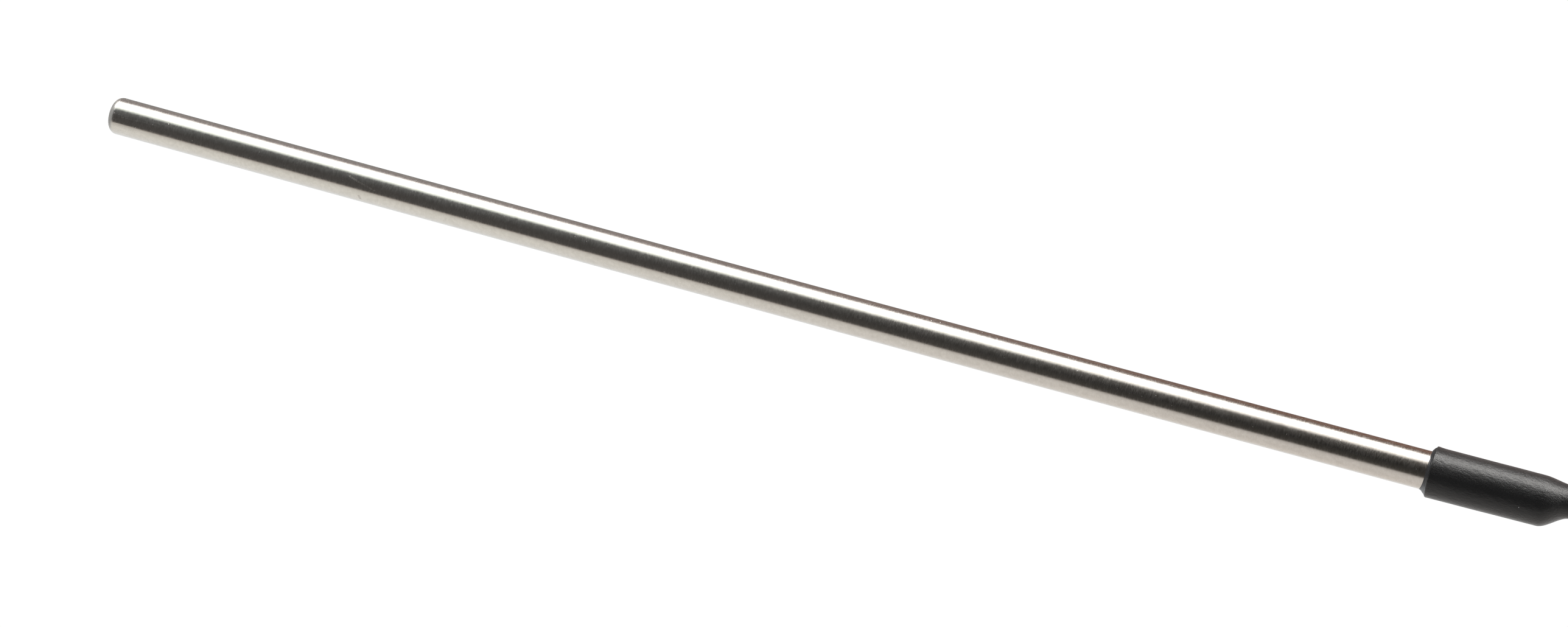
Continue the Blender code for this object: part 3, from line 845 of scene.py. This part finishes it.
def strap_loop():
    """Middles of the strap's inner face round the hank, with their outward directions."""
    half = tie_high[1] - STRAP_THICKNESS
    low = tie_low[2] + STRAP_THICKNESS
    high = strap_top - STRAP_THICKNESS
    corner = STRAP_CORNER
    corners = [
        (half - corner, high - corner, 0),
        (corner - half, high - corner, 90),
        (corner - half, low + corner, 180),
        (half - corner, low + corner, 270),
    ]
    stops = []
    for y, z, start in corners:
        for a in evenly(start, start + 90, 8):
            out = Vector((0.0, math.cos(math.radians(a)), math.sin(math.radians(a))))
            stops.append((Vector((TIE_MIDDLE, y, z)) + out * corner, out))
    return stops


def with_teeth(stops):
    """Sections along the stops, four to each tooth."""
    sections = []
    count = 0
    for (a, out_a), (b, out_b) in zip(stops, stops[1:]):
        steps = max(1, round((b - a).length / (TOOTH_PITCH / 4)))
        for i in range(steps):
            t = i / steps
            tooth = (0.2, 1.0, 1.0, 0.2)[count % 4]
            sections.append(strap_section(a.lerp(b, t), out_a.lerp(out_b, t).normalized(), tooth))
            count += 1
    return sections


loop = strap_loop()
bm = drawn(with_teeth(loop + loop[:1]), True)
up = Vector((0.0, 0.0, 1.0))
stub_height = strap_top + 0.15 * MM
stub_stops = [
    (Vector((TIE_MIDDLE, 0.0, stub_height)), up),
    (Vector((TIE_MIDDLE, -HEAD_SIZE[1] / 2 - STUB_LENGTH + HEAD_SUNK, stub_height)), up),
]
stub = drawn(with_teeth(stub_stops), False)
stub_mesh = bpy.data.meshes.new("stub")
stub.to_mesh(stub_mesh)
stub.free()
bm.from_mesh(stub_mesh)
head_middle = Matrix.Translation((TIE_MIDDLE, 0.0, tie_high[2] - HEAD_SIZE[2] / 2))
head = bmesh.ops.create_cube(bm, size=1.0, matrix=head_middle @ Matrix.Diagonal((*HEAD_SIZE, 1.0)))
head_faces = list({f for v in head["verts"] for f in v.link_faces})
lid = max(head_faces, key=lambda f: f.calc_center_median().z)
head_edges = list({e for v in head["verts"] for e in v.link_edges})
bmesh.ops.inset_region(bm, faces=[lid], thickness=1.1 * MM, depth=0.0)
bmesh.ops.inset_region(bm, faces=[lid], thickness=0.05 * MM, depth=-0.8 * MM)
bmesh.ops.bevel(bm, geom=head_edges, offset=0.45 * MM, segments=3, affect="EDGES", profile=0.5)
tie = piece_from("cable_tie", bm, ["hank_tie"], 35)
coat(tie, extruded("tie_nylon", rgb(0.020, 0.020, 0.021), rgb(0.032, 0.032, 0.033), 0.34))

# %% [markdown]
# ## The bared end
#
# The jacket is cut back, and the two cores splay out. Each ends in a bootlace ferrule: a plastic
# collar that widens like a funnel over the insulation, and a tinned tube. The crimping tool
# squares the tube and presses ridges across it, so its rings go from round to square and back.

# %% Cores and ferrules
CORE_RADIUS = 0.55 * MM
CRIMP_PITCH = 1.1 * MM
FERRULE_SIDES = 32
colour_of = {"positive": "black", "negative": "white"}


def tail_core(polarity):
    """The insulated core, from inside the jacket's end down to its ferrule."""
    low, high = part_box(f"tail_core_{polarity}")
    side = 1 if polarity == "positive" else -1
    start_y = -FOLD_RADII[1] + side * 0.58 * MM
    end_y = (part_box(f"ferrule_{polarity}")[0][1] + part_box(f"ferrule_{polarity}")[1][1]) / 2
    end_z = (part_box(f"ferrule_{polarity}")[0][2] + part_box(f"ferrule_{polarity}")[1][2]) / 2
    stops = [
        (high[0], start_y, tail_height),
        (high[0] - 2 * MM, start_y, tail_height),
        (low[0] + 3 * MM, end_y, end_z),
        (low[0] - 0.9 * MM, end_y, end_z),
    ]
    path = smooth_through([tuple(v / MM for v in stop) for stop in stops], 0.4 * MM)
    bared = piece_from(
        f"bared_core_{polarity}", rod(path, CORE_RADIUS, 16),
        [f"tail_core_{polarity}"],
    )
    return bared, Vector((0.0, end_y, end_z))


def funnel(polarity, middle):
    """The ferrule's collar, wide at the insulation and narrow on the tube."""
    low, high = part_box(f"ferrule_collar_{polarity}")
    wide = (high[2] - low[2]) / 2
    wall = 0.18 * MM
    narrow = wide - 0.25 * MM
    outline = [
        (high[0], wide - wall), (high[0], wide - 0.05 * MM), (high[0] - 0.05 * MM, wide),
        (high[0] - 2.2 * MM, wide - 0.05 * MM), (low[0] + 0.9 * MM, narrow),
        (low[0] + 0.1 * MM, narrow - 0.03 * MM), (low[0], narrow - 0.12 * MM),
        (low[0], CORE_RADIUS - 0.10 * MM), (low[0] + 0.5 * MM, CORE_RADIUS + 0.02 * MM),
        (high[0] - 2.2 * MM, CORE_RADIUS + 0.03 * MM),
    ]
    return piece_from(
        f"funnel_{polarity}", turned(outline, 48, middle),
        [f"ferrule_collar_{polarity}"],
    )


def crimped_tube(polarity, middle):
    """The ferrule's tube, squared and ridged where the crimping tool held it."""
    low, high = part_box(f"ferrule_{polarity}")
    radius = (high[2] - low[2]) / 2
    rings = []
    for x in evenly(high[0], low[0], 60):
        inside_ends = min(1.0, (high[0] - x) / (0.8 * MM), (x - low[0]) / (0.8 * MM))
        press = 0.5 - 0.5 * math.cos(math.tau * x / CRIMP_PITCH)
        square = max(0.0, inside_ends) * (0.55 + 0.45 * press)
        ring = []
        for i in range(FERRULE_SIDES):
            turn = math.tau * i / FERRULE_SIDES
            flat = 0.80 / max(abs(math.cos(turn)), abs(math.sin(turn)))
            reach = radius * (1 - square + square * min(1.0, flat))
            ring.append(middle + Vector((x, reach * math.cos(turn), reach * math.sin(turn))))
        rings.append(ring)
    return piece_from(
        f"crimped_{polarity}", drawn(rings, False), [f"ferrule_{polarity}"]
    )


# %% Bared end's finishes
def plated(name, dark, light, roughness):
    """Drawn or plated metal: dull and bright patches over fine lines along the wire."""
    metal = Finish(name, metallic=1.0)
    place = metal.place()
    lines = metal.noise(metal.stretched(place, (0.08, 1.0, 1.0)), 6000.0, 2.0, 0.5)
    dull = metal.noise(place, 800.0, 3.0, 0.6)
    return metal.surface(
        base_color=metal.blend(dull, dark, light),
        roughness=roughness + 0.12 * dull + 0.08 * lines,
        normal=metal.bump(lines, 0.004 * MM),
    )


tinned = plated("tinned_copper", rgb(0.58, 0.56, 0.53), rgb(0.74, 0.72, 0.69), 0.24)
on_lead = [tie]
for polarity in colour_of:
    bared, middle = tail_core(polarity)
    collar = funnel(polarity, middle)
    ferrule = crimped_tube(polarity, middle)
    coat(bared, cores[polarity])
    coat(collar, cores[polarity])
    coat(ferrule, tinned)
    on_lead += [bared, collar, ferrule]

# %% [markdown]
# With its tie and its ferrules made, the lead and all that is on it are finished.

# %% [markdown]
# ## What is inside
#
# The sheath hides a welded bead, two bare wires in ceramic insulators, crimped splices and the
# potting. Their solids already have the right shapes, so they only need their own finishes:
# chalky ceramic, grey-white cement, drawn wire, varnished glass sleeving and dull resin.

# %% Inner finishes
def fired(name, dark, light, grain_scale, relief):
    """Fired ceramic or cement: dry, with cloudy firing marks, and pores painted darker as shade."""
    clay = Finish(name)
    place = clay.place()
    cloud = clay.noise(place, 350.0, 3.0, 0.5)
    pores_and_painted_shade = clay.between(clay.noise(place, grain_scale, 2.0, 0.6), 0.55, 0.75)
    colour = clay.blend(cloud, dark, light)
    # The pores are painted darker: painted shade in the pits.
    return clay.surface(
        base_color=clay.blend(0.3 * pores_and_painted_shade, colour, dark),
        roughness=0.68 + 0.20 * pores_and_painted_shade,
        normal=clay.bump(1 - pores_and_painted_shade, relief),
    )


def glass_sleeving():
    """Varnished sleeving, braided on the slant in both directions, with painted shade between the
    strands.
    """
    braid = Finish("glass_sleeving")
    place = braid.place()
    turn = {"rotation_type": "AXIS_ANGLE"}
    waves = []
    for slant in (0.8, -0.8):
        sockets = {"Vector": place, "Axis": (0.0, 0.0, 1.0), "Angle": slant}
        leaned = braid.node("VectorRotate", turn, sockets)
        waves.append(braid.node("TexWave", sockets={"Vector": leaned, "Scale": 600.0}, output=1))
    weave_and_painted_shade = waves[0].maths("MAXIMUM", waves[0], waves[1])
    # Darker between the strands is painted shade, and lighter on their tops.
    return braid.surface(
        base_color=braid.blend(weave_and_painted_shade, rgb(0.50, 0.46, 0.34), rgb(0.74, 0.70, 0.56)),
        roughness=0.55 - 0.15 * weave_and_painted_shade,
        normal=braid.bump(weave_and_painted_shade, 0.05 * MM),
    )


def potting():
    """Cast resin: smooth, with a few trapped bubbles."""
    resin = Finish("potting")
    place = resin.place()
    bubbles = resin.between(resin.noise(place, 1400.0, 1.0, 0.4), 0.66, 0.72)
    cloud = resin.noise(place, 300.0, 2.0, 0.5)
    return resin.surface(
        base_color=resin.blend(cloud, rgb(0.035, 0.035, 0.036), rgb(0.06, 0.06, 0.062)),
        roughness=0.30 + 0.15 * cloud + 0.2 * bubbles,
        normal=resin.bump(1 - bubbles, 0.05 * MM),
    )


ceramic = fired("fired_ceramic", rgb(0.80, 0.77, 0.70), rgb(0.88, 0.86, 0.80), 2600.0, 0.02 * MM)
cement = fired("fired_cement", rgb(0.62, 0.60, 0.54), rgb(0.76, 0.74, 0.69), 1500.0, 0.08 * MM)
wires = {
    "positive": plated("iron_wire", rgb(0.34, 0.33, 0.32), rgb(0.46, 0.45, 0.44), 0.36),
    "negative": plated("constantan_wire", rgb(0.48, 0.43, 0.37), rgb(0.60, 0.55, 0.48), 0.30),
}
sleeving = glass_sleeving()

coat(nodes["tip_cement"], cement)
coat(nodes["hot_junction"], wires["positive"])
coat(nodes["tube_end_seal"], potting())
for name in nodes:
    if name.startswith("ceramic_insulator"):
        coat(nodes[name], ceramic)
for polarity in colour_of:
    coat(nodes[f"thermoelement_{polarity}"], wires[polarity])
    coat(nodes[f"conductor_{polarity}"], wires[polarity])
    coat(nodes[f"splice_barrel_{polarity}"], tinned)
    coat(nodes[f"splice_sleeve_{polarity}"], sleeving)
    coat(nodes[f"core_{polarity}"], cores[polarity])
plain = [o.name for o in nodes.values() if not o.hide_render and not o.data.materials[0].use_nodes]
print("solids without a finish:", plain)

# %% [markdown]
# ## Floor and light
#
# Polished steel shows its surroundings more than itself. Studios therefore hang white and dark
# panels round a tube and let it reflect them as clean stripes. A long round tent does the same
# here: it is a light whose brightness changes with the angle round the probe, and
# it only shows in reflections. One list gives it near the tip and one near the sleeve, and the
# tent blends from one to the other. Both lists are fitted values, adjusted until the stripes came
# out right, so they suit this sheath in this view best. Past the tip the tent fades to an even
# grey for the flat end to reflect. The floor is a white light table, so nothing casts a shadow.

# %% Floor
TABLE_SIZE = 4.0


def lamp_material(name):
    """A material with only an emission shader, for the stage."""
    finish = Finish(name)
    finish.tree.nodes.remove(finish.shader)
    finish.shader = finish.tree.nodes.new("ShaderNodeEmission")
    out = finish.tree.nodes["Material Output"]
    finish.tree.links.new(finish.shader.outputs[0], out.inputs["Surface"])
    return finish


corners = [(-1, -1), (1, -1), (1, 1), (-1, 1)]
bm = bmesh.new()
bm.faces.new([bm.verts.new((x * TABLE_SIZE, y * TABLE_SIZE, 0.0)) for x, y in corners])
table_mesh = bpy.data.meshes.new("light_table")
bm.to_mesh(table_mesh)
bm.free()
table = bpy.data.objects.new("light_table", table_mesh)
table.location = (0.12, 0.0, FLOOR - 0.1 * MM)
table.visible_glossy = False
bpy.context.scene.collection.objects.link(table)
coat(table, lamp_material("light_table").surface(strength=1.02))

# %% Light tent
TENT_RADIUS = 0.60
TENT_ENDS = (-1.2, 1.5)
TENT_SIDES = 128
TENT_STEPS = 24
TIP_END_OF_TENT = -0.15
SLEEVE_END_OF_TENT = 0.17
PAST_TIP = (0.36, 0.95)
FAR_GREY = rgb(0.42, 0.42, 0.415)

# Angles are in degrees round the probe: 0 is level in front, 90 straight up, 180 level behind.
WHITE_PANEL = rgb(5.5, 5.5, 5.5)
BRIGHTEST = rgb(15.0, 14.4, 13.7)
NEAR_TIP = [
    (-90, rgb(0.97, 0.96, 0.94)),
    (-60, rgb(0.95, 0.93, 0.88)),
    (-30, rgb(0.93, 0.90, 0.83)),
    (-12, rgb(0.83, 0.80, 0.74)),
    (-3, rgb(0.71, 0.67, 0.61)),
    (2.4, rgb(0.38, 0.34, 0.31)),
    (6.4, rgb(0.11, 0.10, 0.092)),
    (14, rgb(0.088, 0.082, 0.077)),
    (40, rgb(0.075, 0.070, 0.066)),
    (58, rgb(0.085, 0.083, 0.080)),
    (72, rgb(0.115, 0.115, 0.112)),
    (82, rgb(0.14, 0.14, 0.136)),
    (86.5, rgb(0.26, 0.27, 0.26)),
    (92.8, rgb(0.82, 0.86, 0.80)),
    (99, rgb(1.45, 1.50, 1.38)),
    (107, rgb(1.90, 1.92, 1.85)),
    (117, WHITE_PANEL),
    (134, WHITE_PANEL),
    (142, rgb(1.90, 1.85, 1.80)),
    (150, rgb(1.00, 0.92, 0.88)),
    (157, rgb(0.42, 0.37, 0.36)),
    (164, rgb(0.34, 0.30, 0.29)),
    (186, rgb(0.32, 0.28, 0.26)),
    (196, rgb(0.29, 0.27, 0.255)),
    (214, rgb(0.33, 0.32, 0.315)),
    (231, rgb(0.42, 0.42, 0.42)),
    (234, rgb(0.95, 0.96, 0.96)),
]
NEAR_SLEEVE = [
    (-90, rgb(0.90, 0.84, 0.79)),
    (-66, rgb(0.83, 0.77, 0.71)),
    (-47, rgb(0.78, 0.72, 0.67)),
    (-21, rgb(0.77, 0.72, 0.67)),
    (-12, rgb(0.72, 0.67, 0.63)),
    (-3, rgb(0.60, 0.56, 0.52)),
    (1.6, rgb(0.36, 0.33, 0.30)),
    (6.4, rgb(0.115, 0.102, 0.092)),
    (12, rgb(0.066, 0.059, 0.052)),
    (25, rgb(0.044, 0.040, 0.035)),
    (45, rgb(0.030, 0.028, 0.026)),
    (60, rgb(0.046, 0.042, 0.038)),
    (74, rgb(0.080, 0.073, 0.066)),
    (80, rgb(0.12, 0.11, 0.10)),
    (86, rgb(0.27, 0.25, 0.23)),
    (93, rgb(0.88, 0.82, 0.76)),
    (99, rgb(1.42, 1.35, 1.25)),
    (107, rgb(1.90, 1.85, 1.78)),
    (113, WHITE_PANEL),
    (118, BRIGHTEST),
    (131, BRIGHTEST),
    (136, WHITE_PANEL),
    (141, rgb(1.80, 1.70, 1.62)),
    (147, rgb(1.00, 0.92, 0.86)),
    (151, rgb(0.50, 0.43, 0.38)),
    (158, rgb(0.26, 0.20, 0.175)),
    (168, rgb(0.21, 0.132, 0.100)),
    (184, rgb(0.235, 0.130, 0.094)),
    (195, rgb(0.19, 0.100, 0.070)),
    (211, rgb(0.30, 0.22, 0.20)),
    (231, rgb(0.38, 0.32, 0.30)),
    (234, rgb(0.92, 0.90, 0.88)),
]


def tent_stops(angles):
    """A ramp's stops from angles, which start at -90 and go once round."""
    return [((angle + 90) / 360, colour) for angle, colour in angles]


def tent_light():
    """A light whose colour follows the angle round the probe and the place along it."""
    light = lamp_material("tent_light")
    x, y, z = light.axes(light.place())
    turns = x.maths("ARCTAN2", z, 0 - y) / math.tau
    around = x.maths("FRACT", turns + 1.25)
    tip_ramp = light.node("ValToRGB", {"stops": tent_stops(NEAR_TIP)}, {"Fac": around})
    sleeve_ramp = light.node("ValToRGB", {"stops": tent_stops(NEAR_SLEEVE)}, {"Fac": around})
    towards_sleeve = light.between(x, TIP_END_OF_TENT, SLEEVE_END_OF_TENT)
    wall = light.blend(towards_sleeve, tip_ramp, sleeve_ramp)
    past_tip = light.between(0 - x, PAST_TIP[0], PAST_TIP[1])
    return light.surface(color=light.blend(past_tip, wall, FAR_GREY), strength=1.0)


turns = [math.tau * i / TENT_SIDES for i in range(TENT_SIDES)]
rings = [
    [(x, TENT_RADIUS * math.cos(a), TENT_RADIUS * math.sin(a)) for a in turns]
    for x in evenly(TENT_ENDS[0], TENT_ENDS[1], TENT_STEPS)
]
bm = drawn(rings, False)
tent_mesh = bpy.data.meshes.new("light_tent")
bm.to_mesh(tent_mesh)
bm.free()
tent = bpy.data.objects.new("light_tent", tent_mesh)
tent.visible_camera = False
tent.visible_diffuse = False
tent.visible_shadow = False
tent.visible_transmission = False
bpy.context.scene.collection.objects.link(tent)
coat(tent, tent_light())

# %% World
bpy.context.scene.view_settings.view_transform = "Standard"
sky = bpy.data.worlds.new("white_room")
sky.use_nodes = True
sky.node_tree.nodes["Background"].inputs["Color"].default_value = rgb(1.0, 1.0, 1.0)
sky.node_tree.nodes["Background"].inputs["Strength"].default_value = 1.0
bpy.context.scene.world = sky
